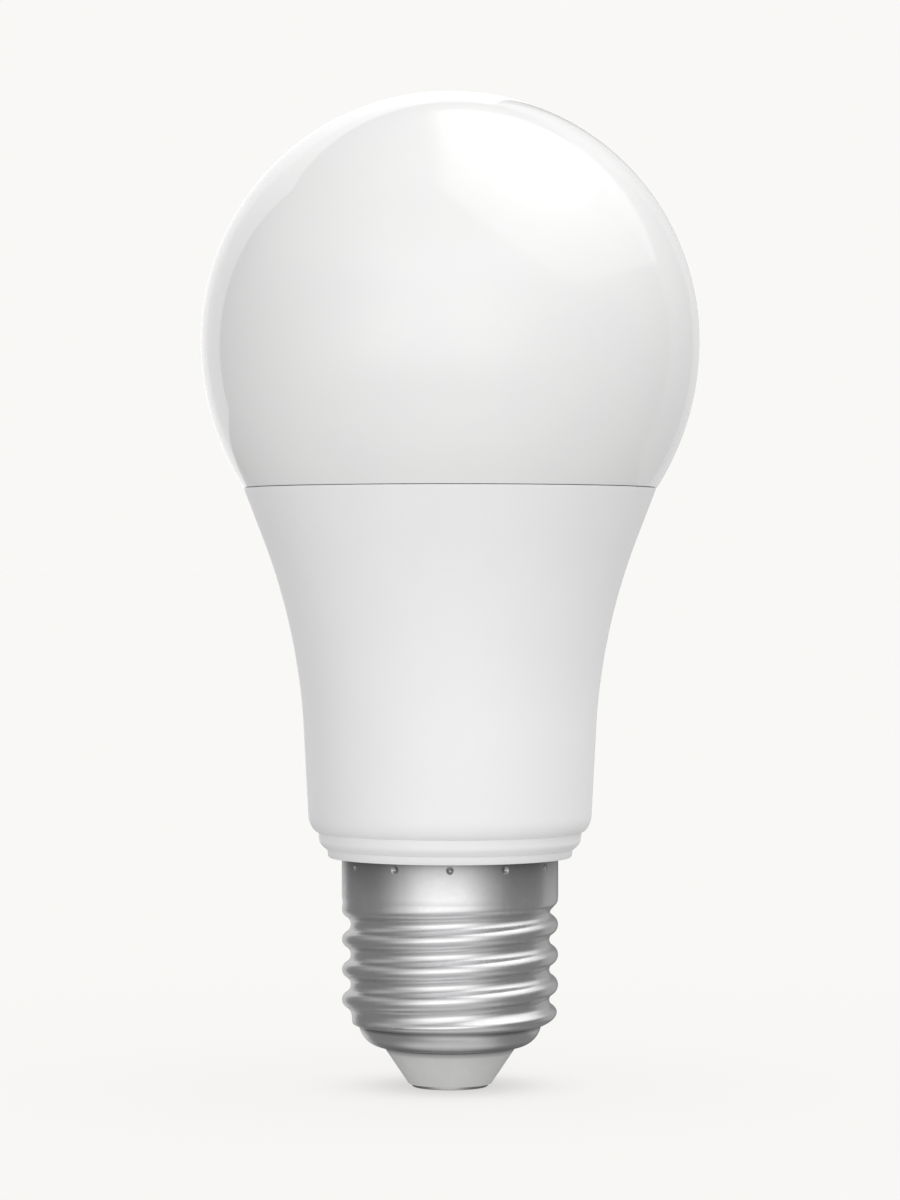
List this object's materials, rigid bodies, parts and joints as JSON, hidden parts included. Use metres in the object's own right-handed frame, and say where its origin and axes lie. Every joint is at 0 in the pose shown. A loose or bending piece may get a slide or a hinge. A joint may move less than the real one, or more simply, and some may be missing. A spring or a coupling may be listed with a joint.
{
  "type": "smart light bulb",
  "caption": "Mains LED bulb with a glossy opal globe, a waisted white housing, a plated Edison screw cap, and a radio and driver inside.",
  "frame": {"origin": "middle of the underside of the centre contact, on the lamp's axis", "axes": "+Z along the lamp's axis from the cap to the top of the globe, +Y towards the back, +X to the right"},
  "size_m": [0.06, 0.06, 0.1197],
  "materials": {
    "opal_plastic": "gloss",
    "housing_plastic": "satin",
    "nickel_plate": "satin",
    "insulator_plastic": "satin",
    "contact_metal": "satin",
    "sealant": "matt",
    "sheet_aluminium": "satin",
    "pad_silicone": "matt",
    "board_white": "satin",
    "led_package": "gloss",
    "phosphor_warm": "gloss",
    "phosphor_cool": "gloss",
    "screw_steel": "satin",
    "connector_ivory": "gloss",
    "tinned_metal": "satin",
    "sleeve_plastic": "gloss",
    "board_green": "gloss",
    "black_epoxy": "satin",
    "resistor_coat": "satin",
    "varistor_coat": "gloss",
    "capacitor_box": "gloss",
    "capacitor_sleeve": "gloss",
    "ferrite": "matt",
    "copper_wire": "gloss",
    "bobbin_black": "satin",
    "winding_tape": "gloss",
    "chip_ceramic": "satin",
    "shield_metal": "satin",
    "gold_track": "gloss",
    "wire_black": "satin",
    "wire_white": "satin",
    "wire_red": "satin"
  },
  "bodies": {
    "root": {"diffuser_globe": "opal_plastic", "diffuser_seal": "sealant", "body_housing": "housing_plastic", "screw_cap": "nickel_plate", "cap_insulator": "insulator_plastic", "centre_contact": "contact_metal", "heat_sink_cup": "sheet_aluminium", "heat_spreader": "sheet_aluminium", "thermal_pad": "pad_silicone", "led_board": "board_white", "led_frames": "led_package", "warm_phosphors": "phosphor_warm", "cool_phosphors": "phosphor_cool", "board_screws": "screw_steel", "led_connector": "connector_ivory", "connector_terminals": "tinned_metal", "driver_sleeve": "sleeve_plastic", "driver_board": "board_green", "fuse_resistor": "resistor_coat", "varistor": "varistor_coat", "bridge_rectifier": "black_epoxy", "film_capacitor": "capacitor_box", "input_capacitor": "capacitor_sleeve", "output_capacitor": "capacitor_sleeve", "choke_core": "ferrite", "choke_winding": "copper_wire", "transformer_core": "ferrite", "transformer_bobbin": "bobbin_black", "transformer_winding": "winding_tape", "driver_chip": "black_epoxy", "power_transistor": "black_epoxy", "output_diodes": "black_epoxy", "chip_resistors": "black_epoxy", "chip_capacitors": "chip_ceramic", "radio_board": "board_green", "radio_chip": "black_epoxy", "radio_shield": "shield_metal", "antenna_trace": "gold_track", "header_strip": "bobbin_black", "header_pins": "tinned_metal", "bobbin_pins": "tinned_metal", "live_wire": "wire_black", "neutral_wire": "wire_white", "led_lead_positive": "wire_red", "led_lead_negative": "wire_black"}
  },
  "joints": []
}
